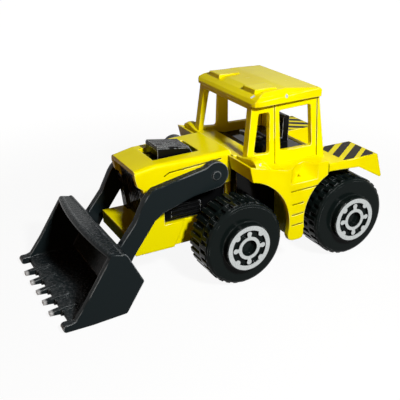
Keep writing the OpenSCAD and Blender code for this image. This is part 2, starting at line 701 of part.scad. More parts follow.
// Engine moulding: block on the base, ribbed sides in the windows and the air intake on top
module engine_insert() {
    x_rear = engine_window_x - engine_window_l + insert_gap;
    long = engine_window_l - 2 * insert_gap;
    side_out = frame_half_w - 0.35;
    rib_r = 0.35;
    intake_rear = intake_x - intake_l;
    pitch = 2 * intake_half_w / intake_ribs;
    color(black) on_chassis() {
        across(insert_half_w) {
            translate([x_rear, bumper_h]) square([long, hood_skirt_h - bumper_h + 3]);
            translate([pivot_x + 1.5, base_t]) square([7, bumper_h - base_t + eps]);
        }
        both_sides(insert_half_w - eps, side_out)
            translate([x_rear, bumper_h + insert_gap])
                square([long, engine_window_tall - 2 * insert_gap]);
        for (side = [-1, 1], k = [0 : 2])
            translate([pivot_x + 1.6, side * (side_out + engine_rib_t - rib_r), bumper_h + 1.1 + 0.92 * k])
                rotate([0, 90, 0]) cylinder(r = rib_r, h = engine_window_x - pivot_x - 3.4);
        across(intake_half_w) polygon([
            [intake_x, hood_skirt_h + 2], [intake_x - 0.1, intake_h],
            [intake_rear + 0.6, intake_h - 1], [intake_rear, intake_h - 2], [intake_rear, hood_skirt_h + 2]]);
        for (k = [0 : intake_ribs - 1])
            translate([0, (k + 0.5) * pitch - intake_half_w, 0]) across(pitch * 0.3) polygon([
                [intake_x, intake_h - 0.5], [intake_x - 0.2, intake_h + 0.3],
                [intake_rear + 0.7, intake_h - 0.75], [intake_rear + 0.6, intake_h - 1.2]]);
    }
}

// Radiator grille: leaning plate with upright slots
module radiator_grille() {
    foot_x = hood_front_x - grille_foot_back;
    head_x = hood_front_x - grille_head_back;
    head_h = hood_front_h - hood_wall - 0.1;
    pitch = 2 * (insert_half_w - 0.5) / grille_slots;
    color(black) on_chassis() difference() {
        across(insert_half_w) polygon([
            [foot_x, bumper_h], [head_x, head_h], [head_x - grille_t, head_h], [foot_x - grille_t, bumper_h]]);
        for (k = [0 : grille_slots - 1])
            translate([0, (k + 0.5) * pitch - insert_half_w + 0.5, 0]) across(pitch * 0.28) polygon([
                [foot_x + 1, bumper_h + 1], [head_x + 1, head_h - 1],
                [head_x - 0.75, head_h - 1.2], [foot_x - 0.45, bumper_h + 1]]);
    }
}

// A place along the level cab floor, as a share of its length from the rear
function seat_x(share) = cab_rear_x + share * (ramp_end_x - cab_rear_x);

// Cab inside: floor that follows the fender top, seat cushion and seat back
module cab_interior() {
    front = dash_x - seam;
    rear = cab_rear_x + 0.4;
    floor_h = fender_step_h + floor_t;
    low = floor_h - 0.75 * floor_t;
    color(black) on_chassis() {
        across(cab_half_w - post_w - 0.3) polygon([
            [front, fender_top(front)], [front, fender_top(front) + floor_t], [ramp_end_x, floor_h],
            [rear, floor_h], [rear, fender_step_h], [ramp_end_x, fender_step_h]]);
        across(seat_half_w) {
            polygon(rounded([[seat_x(0.57), low], [seat_x(0.57), floor_h + seat_back_tall * 0.22],
                             [seat_x(0.23), floor_h + seat_back_tall * 0.17], [seat_x(0.23), low]], 0.4));
            polygon(rounded([[seat_x(0.3), low], [seat_x(0.27), floor_h + seat_back_tall],
                             [seat_x(0.12), floor_h + seat_back_tall], [seat_x(0.15), low]], 0.5));
        }
    }
}

// Steering wheel: thick rim, disc and column standing on the cab floor
module steering_wheel() {
    column_r = steering_r * 0.165;
    tilt = -22;
    column_x = ramp_end_x - column_r / cos(tilt) - seam;
    rim_r = steering_r * 0.145;
    foot_h = fender_top(column_x) + floor_t;
    color(black) on_chassis() translate([column_x, 0, foot_h]) {
        rotate([0, tilt, 0]) translate([0, 0, steering_r * 0.6]) {
            cylinder(r = steering_r - rim_r, h = rim_r);
            rotate_extrude() translate([steering_r - rim_r, rim_r / 2]) circle(rim_r, $fn = 24);
        }
        difference() {
            rotate([0, tilt, 0]) translate([0, 0, -1]) cylinder(r = column_r, h = steering_r * 0.6 + 1.2);
            translate([-5, -5, -5]) cube([10, 10, 5]);
        }
    }
}

// Rivet: shank in the casting's post and a head sunk in the underside of the base
module rivet(x) {
    color(bright) on_chassis() translate([x, 0, 0]) rotate_extrude() polygon([
        [0, 0.05], [rivet_head_r - 0.2, 0.05], [rivet_head_r, 0.2], [rivet_head_r, rivet_head_t],
        [rivet_r, rivet_head_t], [rivet_r, rivet_hole_l], [0, rivet_hole_l]]);
}

module front_rivet() {
    rivet(rivet_front_x);
}

module rear_rivet() {
    rivet(rivet_rear_x);
}

// Axle wire with a swaged head in each wheel
axle_half = hub_span / 2 - hub_relief - 0.9;
module axle(x) {
    color(bright) on_chassis() translate([x, 0, axle_above_base]) {
        rotate([90, 0, 0]) cylinder(r = axle_r, h = 2 * axle_half, center = true);
        cross_pins(0, 0, axle_head_r, axle_half - axle_head_l, axle_half);
    }
}

module front_axle() {
    axle(0);
}

module rear_axle() {
    axle(rear_axle_x);
}

// Toothed ring outline: one point pair at each lug and each groove
function lug_ring(r_low, r_high, share, turn) = [
    for (k = [0 : lug_count - 1])
        let (step = 360 / lug_count, at = k * step + turn, half = step * share / 2)
            for (q = [[r_low, -half - 1.6], [r_high, -half], [r_high, half], [r_low, half + 1.6]])
                [q[0] * cos(at + q[1]), q[0] * sin(at + q[1])]
];

// Flat pattern of the bright rings: rim with inward lobes, and eye ring with outward knobs
module hub_pattern() {
    rim_in = foil_r * 0.8;
    ring_out = hub_eye_r + 0.7;
    knob_at = foil_r * 0.65;
    difference() {
        circle(foil_r);
        circle(rim_in);
    }
    intersection() {
        circle(rim_in + 0.2);
        for (k = [0 : 3])
            rotate(45 + 90 * k) translate([rim_in, 0]) circle(0.62, $fn = 32);
    }
    difference() {
        union() {
            circle(ring_out);
            for (k = [0 : 3])
                rotate(90 * k) {
                    translate([knob_at, 0]) circle(0.52, $fn = 32);
                    translate([hub_eye_r, -0.4]) square([knob_at - hub_eye_r, 0.8]);
                }
        }
        circle(hub_eye_r);
    }
}

// Wheel: moulded tyre and hub in one, axis along Z, outer side up, inner face at zero
module wheel_solid() {
    groove_r = wheel_r - tread_depth;
    shoulder_r = wheel_r - tread_depth * 0.45;
    face = tyre_w + hub_proud;
    head_out = face - hub_span / 2 + axle_half;
    difference() {
        union() {
            rotate_extrude() polygon([
                [0, 1.2], [2.2, 1.2], [2.2, 0.3], [3, 0.3], [3.2, 1.6], [6.2, 1.6], [6.6, 0],
                [groove_r - 0.4, 0], [groove_r, 0.4], [groove_r, tyre_w - 1.2], [shoulder_r, tyre_w - 1],
                [shoulder_r, tyre_w - 0.6], [shoulder_r - 0.15, tyre_w - 0.25], [shoulder_r - 0.55, tyre_w],
                [hub_r + 0.15, tyre_w], [hub_r, tyre_w + 0.15],
                [hub_r, face - 0.15], [hub_r - 0.15, face], [foil_r, face],
                [foil_r, face - hub_relief], [0, face - hub_relief]]);
            translate([0, 0, 0.3]) linear_extrude(tyre_w * bar_share)
                polygon(lug_ring(groove_r - 0.2, wheel_r, 0.5, 0));
            translate([0, 0, tyre_w * bar_share - 0.2])
                linear_extrude(tyre_w * (1 - bar_share) - 0.5)
                    polygon(lug_ring(groove_r - 0.2, wheel_r, 0.5, 180 / lug_count));
            translate([0, 0, face - hub_relief - eps])
                linear_extrude(hub_relief - foil_t + eps) hub_pattern();
        }
        translate([0, 0, -1]) cylinder(r = axle_r + run_clear, h = head_out + 1);
        translate([0, 0, head_out - axle_head_l - run_clear])
            cylinder(r = axle_head_r + run_clear, h = axle_head_l + 2 * run_clear);
        translate([0, 0, face - hub_relief - 0.5]) cylinder(r = hub_eye_r, h = 2);
    }
}

// Turns a wheel piece to its place on an axle end; side is 1 on the left and -1 on the right
module at_wheel(x, side) {
    on_chassis() translate([x, side * tyre_in, axle_above_base])
        rotate([side > 0 ? -90 : 90, 0, 0]) children();
}

module wheel(x, side) {
    color(black) at_wheel(x, side) wheel_solid();
}

module hub_foil(x, side) {
    color(bright) at_wheel(x, side)
        translate([0, 0, tyre_w + hub_proud - foil_t]) linear_extrude(foil_t) hub_pattern();
}

module front_left_wheel() {
    wheel(0, 1);
}

module front_right_wheel() {
    wheel(0, -1);
}

module rear_left_wheel() {
    wheel(rear_axle_x, 1);
}

module rear_right_wheel() {
    wheel(rear_axle_x, -1);
}

module front_left_hub_foil() {
    hub_foil(0, 1);
}

module front_right_hub_foil() {
    hub_foil(0, -1);
}

module rear_left_hub_foil() {
    hub_foil(rear_axle_x, 1);
}

module rear_right_hub_foil() {
    hub_foil(rear_axle_x, -1);
}

// Side outline of the bucket, from the lip round the back to the cutting edge
floor_z = bucket_gap + bucket_t / 2;
bucket_path = [[edge_x - bucket_depth * 0.62, bucket_lip_z - 0.45],
               [edge_x - bucket_depth * 0.79, bucket_lip_z - 0.95],
               [edge_x - bucket_depth, bucket_lip_z * 0.49],
               [edge_x - bucket_depth * 0.74, floor_z + 0.4],
               [edge_x - bucket_depth * 0.26, floor_z],
               [edge_x, floor_z]];

// Arms with round ends, spacer bosses and the stub pins that snap into the hood sides
module loader_arms() {
    pivot_z = base_z + pivot_h;
    back = bucket_path[2];
    reach = back.x - pivot_x;
    drop = pivot_z - back.y;
    both_sides(arm_in, arm_out) {
        translate([pivot_x, pivot_z]) circle(arm_end_r);
        polygon([
            [pivot_x - 0.3, pivot_z + arm_end_r], [pivot_x + reach * 0.13, pivot_z + arm_end_r * 0.65],
            [pivot_x + reach * 0.698, pivot_z - drop * 0.02], [pivot_x + reach * 0.765, pivot_z - drop * 0.09],
            [pivot_x + reach * 0.802, pivot_z - drop * 0.155], [pivot_x + reach * 0.911, pivot_z - drop * 0.415],
            [pivot_x + reach * 1.078, pivot_z - drop * 0.67], bucket_path[1] + [-0.4, -0.9], back + [0, 0.5],
            [back.x - 1, back.y + drop * 0.143], [pivot_x + reach * 0.698, pivot_z - drop * 0.435],
            [pivot_x + reach * 0.615, pivot_z - drop * 0.357], [pivot_x + reach * 0.26, pivot_z - drop * 0.22],
            [pivot_x - 0.2, pivot_z - arm_end_r]]);
    }
    cross_pins(pivot_x, pivot_z, pivot_pin_r + 0.8, hood_rear_half_w + insert_gap, arm_in + eps);
    cross_pins(pivot_x, pivot_z, pivot_pin_r, frame_in + 0.2, arm_in + eps);
    cross_pins(pivot_x, pivot_z, 0.9, arm_out - eps, arm_out + 0.25);
}

// Top lip of the bucket: a plate and a bead with a front edge bowed forward
module bucket_lip() {
    lip = bucket_path[0];
    half = bucket_half_w - bucket_t / 2;
    bow_r = (half * half + lip_bow * lip_bow) / (2 * lip_bow);
    fall = atan2(lip.y - bucket_path[1].y, lip.x - bucket_path[1].x);
    translate([lip.x, 0, lip.y]) rotate([0, -fall, 0]) {
        intersection() {
            translate([lip_bow - bow_r, 0, -bucket_t / 2]) cylinder(r = bow_r, h = bucket_t, $fn = 180);
            translate([-1.5, -half, -bucket_t]) cube([1.5 + lip_bow, 2 * half, 2 * bucket_t]);
        }
        translate([lip_bow - bow_r, 0, 0]) rotate([0, 0, -asin(half / bow_r)])
            rotate_extrude(angle = 2 * asin(half / bow_r), $fn = 180)
                translate([bow_r, 0]) circle(bucket_t * 0.65, $fn = 32);
    }
}

// Bucket: bent back, side plates, lip, cutting edge with teeth and corner caps
module loader_bucket() {
    lip = bucket_path[0];
    across(bucket_half_w) {
        strip(bucket_path, bucket_t);
        translate(bucket_path[1] + [0.2, 0.15]) circle(bucket_t * 0.55);
    }
    bucket_lip();
    both_sides(bucket_half_w - bucket_t, bucket_half_w) polygon([
        lip + [0.3, 0.5], bucket_path[1] + [-0.2, 0.55], bucket_path[2] + [-0.55, 0],
        bucket_path[3] + [-0.2, -bucket_t / 2], bucket_path[4] - [0, bucket_t / 2], [edge_x + 1.7, bucket_gap],
        [edge_x + 2.2, bucket_gap + 0.9], [edge_x - 0.2, bucket_gap + 1.7], [edge_x - 2.7, 5.1]]);
    both_sides(bucket_half_w - cap_w, bucket_half_w) {
        translate([edge_x, bucket_gap]) square([1.5, 1.4]);
        translate([edge_x + 1.5, bucket_gap + 0.7]) circle(0.7);
    }
    for (k = [1 : tooth_count])
        translate([0, (k - (tooth_count + 1) / 2) * tooth_pitch, 0]) {
            across(tooth_w / 2) polygon([
                [edge_x - tooth_l * 1.07, floor_z], [edge_x - tooth_l * 0.86, floor_z + 0.85],
                [edge_x, floor_z + 0.75], [bucket_reach, bucket_gap + 0.85],
                [bucket_reach, bucket_gap + 0.25], [edge_x, bucket_gap]]);
            across(tooth_w * 1.1) polygon([
                [edge_x - tooth_l * 0.79, floor_z], [edge_x - tooth_l * 0.64, floor_z + 0.7],
                [edge_x + tooth_l * 0.21, floor_z + 0.5], [edge_x + tooth_l * 0.32, bucket_gap + 0.1],
                [edge_x, bucket_gap]]);
        }
}

// Shovel: arms and bucket moulded in one piece
module loader_shovel() {
    color(black) translate([front_axle_x, 0, 0]) {
        loader_arms();
        loader_bucket();
    }
}

body_casting();
roof_casting();
base_plate();
engine_insert();
radiator_grille();
cab_interior();
steering_wheel();
front_rivet();
rear_rivet();
front_axle();
rear_axle();
loader_shovel();
front_left_wheel();
front_right_wheel();
rear_left_wheel();
rear_right_wheel();
front_left_hub_foil();
front_right_hub_foil();
rear_left_hub_foil();
rear_right_hub_foil();
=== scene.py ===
"""Looks of a die-cast toy front loader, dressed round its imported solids.

Every length is in metres in the row frame: +X forward over the bucket, +Y to the
left, +Z up, with the floor at zero. Sizes written in millimetres go through MM.
"""

import logging
import math
from dataclasses import dataclass, field, replace
from enum import Enum
from typing import Any

import bmesh
import bpy
from mathutils import Matrix, Vector


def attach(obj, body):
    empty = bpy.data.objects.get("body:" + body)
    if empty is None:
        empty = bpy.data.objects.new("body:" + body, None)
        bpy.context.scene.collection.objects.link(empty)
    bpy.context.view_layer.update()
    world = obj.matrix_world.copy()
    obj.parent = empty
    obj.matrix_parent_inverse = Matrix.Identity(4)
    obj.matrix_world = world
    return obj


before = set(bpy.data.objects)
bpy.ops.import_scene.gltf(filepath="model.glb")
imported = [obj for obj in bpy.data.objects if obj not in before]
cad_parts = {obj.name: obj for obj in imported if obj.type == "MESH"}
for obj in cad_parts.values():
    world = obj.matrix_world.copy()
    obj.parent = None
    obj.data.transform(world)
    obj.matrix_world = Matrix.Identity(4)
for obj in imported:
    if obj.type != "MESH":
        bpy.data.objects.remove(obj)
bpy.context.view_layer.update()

Point = tuple[float, float]
Triple = tuple[float, float, float]
Inputs = dict[str | int, Any]

MM = 0.001
LOG = logging.getLogger("loader")

# Sockets of a colour mix, which share their names with others and so go by number
SHARE, UNDER, OVER, MIXED = 0, 6, 7, 2
COLOURS: dict[str, str] = {"data_type": "RGBA"}
SMOOTH: dict[str, str] = {"interpolation_type": "SMOOTHSTEP"}

# Octaves of the noises, from broad blotches to fine specks
BROAD, MEDIUM, FINE = 3.0, 4.0, 5.0
# Rays for each look round a point, for softened edges and for open corners
EDGE_RAYS, CORNER_RAYS = 6, 8


class Side(Enum):
    """The two sides of the toy, by the sign of Y."""

    LEFT = 1
    RIGHT = -1


class Kind(Enum):
    """The shader nodes that the finishes are made of."""

    BACKGROUND = "ShaderNodeBackground"
    BEVEL = "ShaderNodeBevel"
    BOTH = "ShaderNodeAddShader"
    BUMP = "ShaderNodeBump"
    DIFFUSE = "ShaderNodeBsdfDiffuse"
    EITHER = "ShaderNodeMixShader"
    GLOW = "ShaderNodeEmission"
    MIX = "ShaderNodeMix"
    NOISE = "ShaderNodeTexNoise"
    OPEN_SHARE = "ShaderNodeAmbientOcclusion"
    OUTPUT = "ShaderNodeOutputMaterial"
    PLACE = "ShaderNodeTexCoord"
    RAY = "ShaderNodeLightPath"
    SEPARATE = "ShaderNodeSeparateXYZ"
    SHADER = "ShaderNodeBsdfPrincipled"
    SPREAD = "ShaderNodeMapRange"
    STRETCH = "ShaderNodeMapping"
    SUM = "ShaderNodeMath"
    SURFACE = "ShaderNodeNewGeometry"
    VECTOR = "ShaderNodeVectorMath"
    WORLD = "ShaderNodeOutputWorld"


def linear(hex_colour: str) -> tuple[float, float, float, float]:
    """Turns an sRGB hex colour into linear light.

    Args:
        hex_colour: Six hex digits after a hash sign.

    Returns:
        Linear red, green, blue and an alpha of one.
    """
    parts = [int(hex_colour[i : i + 2], 16) / 255 for i in (1, 3, 5)]
    red, green, blue = (c / 12.92 if c <= 0.04045 else ((c + 0.055) / 1.055) ** 2.4 for c in parts)
    return (red, green, blue, 1.0)


def per_size(size_mm: float) -> float:
    """Gives the texture scale whose features are about size_mm across."""
    return 1 / (size_mm * MM)


def add(tree: bpy.types.NodeTree, kind: Kind, inputs: Inputs | None = None,
        **settings: Any) -> bpy.types.Node:
    """Adds one shader node with its settings, values and links.

    Args:
        tree: Node tree that gets the node.
        kind: Which node it is.
        inputs: Input name or index, with a value, or a node or socket to link.
        **settings: Properties of the node itself.

    Returns:
        The new node.
    """
    node = tree.nodes.new(kind.value)
    for key, value in settings.items():
        setattr(node, key, value)
    for key, value in (inputs or {}).items():
        if isinstance(value, bpy.types.Node):
            value = value.outputs[0]
        if isinstance(value, bpy.types.NodeSocket):
            tree.links.new(value, node.inputs[key])
        else:
            node.inputs[key].default_value = value
    return node


@dataclass(frozen=True)
class Finish:
    """A surface finish that makes its material once and hands it out again.

    Attributes:
        name: Name of the material, after the real one.
        colour: Main colour as sRGB hex.
        roughness: Roughness of the clean surface.
        gloss: Specular level of the surface.
        metallic: One for a bare metal.
        edge_mm: Radius of the softened edges.
        edge_turn: Cosines of the softened normal's turn, from no edge to a full edge.
        edge_open: Open shares round a point, from an inner corner to an outer edge.
        glint_rub_mm: Size of the patches in which outer edges get a painted highlight,
            which also stands for rubbing from wear.
        glint_rub_from: Level of the patches' noise above which an edge gets it.
        glint_rub_rise: Rise of that noise from none to full.
        glint_rub_share: How far such an edge takes the colour of highlight and wear.
    """

    name: str
    colour: str
    roughness: float
    gloss: float = 0.5
    metallic: float = 0.0
    edge_mm: float = 0.3
    edge_turn: Point = (0.99, 0.88)
    edge_open: Point = (0.68, 0.9)
    glint_rub_mm: float = 2.2
    glint_rub_from: float = 0.35
    glint_rub_rise: float = 0.15
    glint_rub_share: float = 0.8

    def material(self) -> bpy.types.Material:
        """Makes the material, or finds it if it was made before."""
        found = bpy.data.materials.get(self.name)
        if found:
            return found
        made = bpy.data.materials.new(self.name)
        made.use_nodes = True
        tree = made.node_tree
        tree.nodes.clear()
        place = add(tree, Kind.PLACE).outputs["Object"]
        plain: Inputs = {"Base Color": linear(self.colour), "Roughness": self.roughness,
                         "Specular IOR Level": self.gloss, "Metallic": self.metallic}
        shader = add(tree, Kind.SHADER, plain | self.patterns(tree, place))
        add(tree, Kind.OUTPUT, {"Surface": shader})
        return made

    def patterns(self, tree: bpy.types.NodeTree, place: bpy.types.NodeSocket) -> Inputs:
        """Makes the finish's own patterns.

        Args:
            tree: Node tree of the material.
            place: Position on the piece at rest.

        Returns:
            Inputs of the shader that the patterns drive.
        """
        raise NotImplementedError

    def edge_highlight_and_wear(self, tree: bpy.types.NodeTree, place: bpy.types.NodeSocket,
                   normals: bpy.types.Node) -> bpy.types.Node:
        """Finds outer edges for a painted highlight that also stands for rubbing from wear.

        Args:
            tree: Node tree of the material.
            place: Position on the piece at rest.
            normals: Softened normals, which turn away from the flat ones on an edge.

        Returns:
            The node that gives how far each point has the painted highlight and wear.
        """
        flat = add(tree, Kind.SURFACE).outputs["Normal"]
        turn = add(tree, Kind.VECTOR, {0: normals, 1: flat}, operation="DOT_PRODUCT")
        edge = add(tree, Kind.SPREAD, {
            "Value": turn.outputs["Value"], "From Min": self.edge_turn[0],
            "From Max": self.edge_turn[1]}, **SMOOTH)
        corner = add(tree, Kind.OPEN_SHARE, {"Distance": 2 * self.edge_mm * MM},
                     samples=CORNER_RAYS)
        outer = add(tree, Kind.SPREAD, {
            "Value": corner.outputs["AO"], "From Min": self.edge_open[0],
            "From Max": self.edge_open[1]}, **SMOOTH)
        edge = add(tree, Kind.SUM, {0: edge, 1: outer}, operation="MULTIPLY")
        # Patches where outer edges get the painted highlight, which also stands for wear
        patchy = add(tree, Kind.NOISE, {
            "Vector": place, "Scale": per_size(self.glint_rub_mm), "Detail": MEDIUM})
        glint_patches = add(tree, Kind.SPREAD, {
            "Value": patchy, "From Min": self.glint_rub_from,
            "From Max": self.glint_rub_from + self.glint_rub_rise, "To Max": self.glint_rub_share}, **SMOOTH)
        return add(tree, Kind.SUM, {0: edge, 1: glint_patches}, operation="MULTIPLY")


@dataclass(frozen=True)
class SprayedEnamel(Finish):
    """Stoving enamel sprayed on a zinc casting.

    The eye gets an even, glossy yellow with a faint orange peel, a painted shade in
    corners, painted highlights on outer edges with some rubbing from wear, and bright
    zinc where a corner has been knocked.

    Attributes:
        deep, tone_mm, tone_levels: Deeper yellow, the size of its clouds, and the noise
            levels from the main colour to it.
        corner_shade, corner_shade_mm, corner_shade_open, corner_shade_share: Colour of the
        painted shade in corners, how far a corner is felt, the open shares from unshaded
        to fully shaded, and the share of full shade.
        edge_glint_wear: Colour of outer edges with a painted highlight, which also stands
        for rubbing from wear.
        zinc: Colour of the bare casting.
        chips_mm: Centre and radius of each chip in the paint.
        chip_mm, chip_reach, chip_sink: Size of the ragged bits of a chip's edge, how its
            reach rises with the noise and where it starts, both in radii, and how deep the
            bare metal lies against the peel.
        dull_mm, dull_swing: Size of the hazy patches and their change of roughness.
        peel_mm, peel_strength, peel_deep_mm: Width, strength and depth of the orange peel.
    """

    deep: str = "#F3E000"
    tone_mm: float = 9.0
    tone_levels: Point = (0.42, 0.75)
    corner_shade: str = "#3A2600"
    corner_shade_mm: float = 0.9
    corner_shade_open: Point = (0.6, 0.3)
    corner_shade_share: float = 0.75
    edge_glint_wear: str = "#FFF7B8"
    zinc: str = "#D4D6D6"
    chips_mm: tuple[tuple[Triple, float], ...] = ()
    chip_mm: float = 0.45
    chip_reach: Point = (1.6, -0.3)
    chip_sink: float = -0.6
    dull_mm: float = 2.5
    dull_swing: float = 0.06
    peel_mm: float = 0.55
    peel_strength: float = 0.2
    peel_deep_mm: float = 0.05

    def patterns(self, tree: bpy.types.NodeTree, place: bpy.types.NodeSocket) -> Inputs:
        """Makes tone, painted corner shade, painted edge highlights with wear, chips,
        orange peel and soft edges, as the base class says.
        """
        normals = add(tree, Kind.BEVEL, {"Radius": self.edge_mm * MM}, samples=EDGE_RAYS)
        cloudy = add(tree, Kind.NOISE, {"Vector": place, "Scale": per_size(self.tone_mm)})
        tone = add(tree, Kind.SPREAD, {
            "Value": cloudy, "From Min": self.tone_levels[0],
            "From Max": self.tone_levels[1]}, **SMOOTH)
        # Painted shade: the less open a corner is, the darker it is drawn
        corner = add(tree, Kind.OPEN_SHARE, {"Distance": self.corner_shade_mm * MM}, samples=CORNER_RAYS)
        shaded_corners = add(tree, Kind.SPREAD, {
            "Value": corner.outputs["AO"], "From Min": self.corner_shade_open[0],
            "From Max": self.corner_shade_open[1], "To Max": self.corner_shade_share}, **SMOOTH)
        # Painted highlight on outer edges, which also stands for rubbing from wear
        paler_share = self.edge_highlight_and_wear(tree, place, normals)
        bare = self.chip_share(tree, place)
        colour: Any = linear(self.colour)
        for share, over in ((tone, self.deep), (shaded_corners, self.corner_shade), (paler_share, self.edge_glint_wear),
                            (bare, self.zinc)):
            colour = add(tree, Kind.MIX, {SHARE: share, UNDER: colour, OVER: linear(over)},
                         **COLOURS).outputs[MIXED]
        hazy = add(tree, Kind.NOISE, {"Vector": place, "Scale": per_size(self.dull_mm)})
        dull = add(tree, Kind.SPREAD, {
            "Value": hazy, "To Min": self.roughness - self.dull_swing,
            "To Max": self.roughness + self.dull_swing})
        peel = add(tree, Kind.NOISE, {"Vector": place, "Scale": per_size(self.peel_mm)})
        height = add(tree, Kind.SUM, {0: bare, 1: self.chip_sink, 2: peel},
                     operation="MULTIPLY_ADD")
        bump = add(tree, Kind.BUMP, {
            "Strength": self.peel_strength, "Distance": self.peel_deep_mm * MM,
            "Height": height, "Normal": normals})
        return {"Base Color": colour, "Metallic": bare, "Roughness": dull, "Normal": bump}

    def chip_share(self, tree: bpy.types.NodeTree,
                   place: bpy.types.NodeSocket) -> bpy.types.Node:
        """Gives one where the paint is chipped off.

        Args:
            tree: Node tree of the material.
            place: Position on the piece.

        Returns:
            The node that gives the share of bare metal.
        """
        ragged = add(tree, Kind.NOISE, {
            "Vector": place, "Scale": per_size(self.chip_mm), "Detail": BROAD})
        rise, start = self.chip_reach
        bare: bpy.types.Node | None = None
        for centre, radius in self.chips_mm:
            far = add(tree, Kind.VECTOR, {0: place, 1: tuple(c * MM for c in centre)},
                      operation="DISTANCE").outputs["Value"]
            reach = add(tree, Kind.SUM, {0: ragged, 1: rise * radius * MM, 2: start * radius * MM},
                        operation="MULTIPLY_ADD")
            spot = add(tree, Kind.SUM, {0: far, 1: reach}, operation="LESS_THAN")
            bare = spot if bare is None else add(tree, Kind.SUM, {0: bare, 1: spot},
                                                 operation="MAXIMUM")
        return bare


@dataclass(frozen=True)
class MouldedPlastic(Finish):
    """Injection-moulded black plastic.

    The eye gets a near-black with a slight sheen, moulding grain, painted highlights along
    the outer edges with some rubbing from wear, and dust with bright specks where it lies
    flat. The real grain and dust are a few hundredths of a millimetre; both are drawn
    coarser to show.

    Attributes:
        edge_glint_rub: Colour of the painted highlights on outer edges, with some rubbing
        from wear.
        dust, dust_mm, dust_share: Colour, size and share of the dust.
        dust_levels: Noise levels from clean to dusty.
        dust_rise: Upward parts of the normal from no dust to full dust.
        grain_mm, grain_strength, grain_deep_mm: Width, strength and depth of the grain.
        scuff_strength, scuff_deep_mm: Strength and depth of scuffs where dust lies.
        dull_mm, dull_swing: Size of the hazy patches and their change of roughness.
        tip_x_mm, tip_fade_mm, pale_tip: Where along X pale tips begin in full, over what
        length they fade in, and their colour: partly plastic pale from wear, partly a
        painted highlight on front faces that get little lamp light.
    """

    edge_glint_rub: str = "#A4A9AA"
    dust: str = "#77777A"
    dust_mm: float = 0.5
    dust_share: float = 0.1
    dust_levels: Point = (0.45, 0.75)
    dust_rise: Point = (0.3, 0.9)
    grain_mm: float = 0.35
    grain_strength: float = 0.12
    grain_deep_mm: float = 0.05
    scuff_strength: float = 0.0
    scuff_deep_mm: float = 0.2
    dull_mm: float = 1.8
    dull_swing: float = 0.1
    tip_x_mm: float = 100.0
    tip_fade_mm: float = 0.6
    pale_tip: str = "#C8CACA"

    def patterns(self, tree: bpy.types.NodeTree, place: bpy.types.NodeSocket) -> Inputs:
        """Makes grain, painted edge highlights with rubbing, dust, pale tips and soft edges,
        as the base class says.
        """
        normals = add(tree, Kind.BEVEL, {"Radius": self.edge_mm * MM}, samples=EDGE_RAYS)
        # Painted highlight on outer edges, which also stands for rubbing from wear
        paler_share = self.edge_highlight_and_wear(tree, place, normals)
        facing = add(tree, Kind.SEPARATE, {0: add(tree, Kind.SURFACE).outputs["Normal"]})
        flat = add(tree, Kind.SPREAD, {
            "Value": facing.outputs["Z"], "From Min": self.dust_rise[0],
            "From Max": self.dust_rise[1]}, **SMOOTH)
        specks = add(tree, Kind.NOISE, {
            "Vector": place, "Scale": per_size(self.dust_mm), "Detail": FINE})
        lying = add(tree, Kind.SPREAD, {
            "Value": specks, "From Min": self.dust_levels[0],
            "From Max": self.dust_levels[1], "To Max": self.dust_share}, **SMOOTH)
        dusty = add(tree, Kind.SUM, {0: flat, 1: lying}, operation="MULTIPLY")
        # Pale tips: partly plastic pale from wear, partly a painted highlight on front faces that
        # get little lamp light
        along = add(tree, Kind.SEPARATE, {0: place}).outputs["X"]
        tip = add(tree, Kind.SPREAD, {
            "Value": along, "From Min": (self.tip_x_mm - self.tip_fade_mm) * MM,
            "From Max": self.tip_x_mm * MM}, **SMOOTH)
        colour: Any = linear(self.colour)
        for share, over in ((paler_share, self.edge_glint_rub), (dusty, self.dust), (tip, self.pale_tip)):
            colour = add(tree, Kind.MIX, {SHARE: share, UNDER: colour, OVER: linear(over)},
                         **COLOURS).outputs[MIXED]
        hazy = add(tree, Kind.NOISE, {"Vector": place, "Scale": per_size(self.dull_mm)})
        dull = add(tree, Kind.SPREAD, {
            "Value": hazy, "To Min": self.roughness - self.dull_swing,
            "To Max": self.roughness + self.dull_swing})
        grain = add(tree, Kind.NOISE, {
            "Vector": place, "Scale": per_size(self.grain_mm), "Detail": BROAD})
        bump = add(tree, Kind.BUMP, {
            "Strength": self.grain_strength, "Distance": self.grain_deep_mm * MM,
            "Height": grain, "Normal": normals})
        scuffs = add(tree, Kind.SUM, {0: flat, 1: specks}, operation="MULTIPLY")
        bump = add(tree, Kind.BUMP, {
            "Strength": self.scuff_strength, "Distance": self.scuff_deep_mm * MM,
            "Height": scuffs, "Normal": bump})
        return {"Base Color": colour, "Roughness": dull, "Normal": bump}


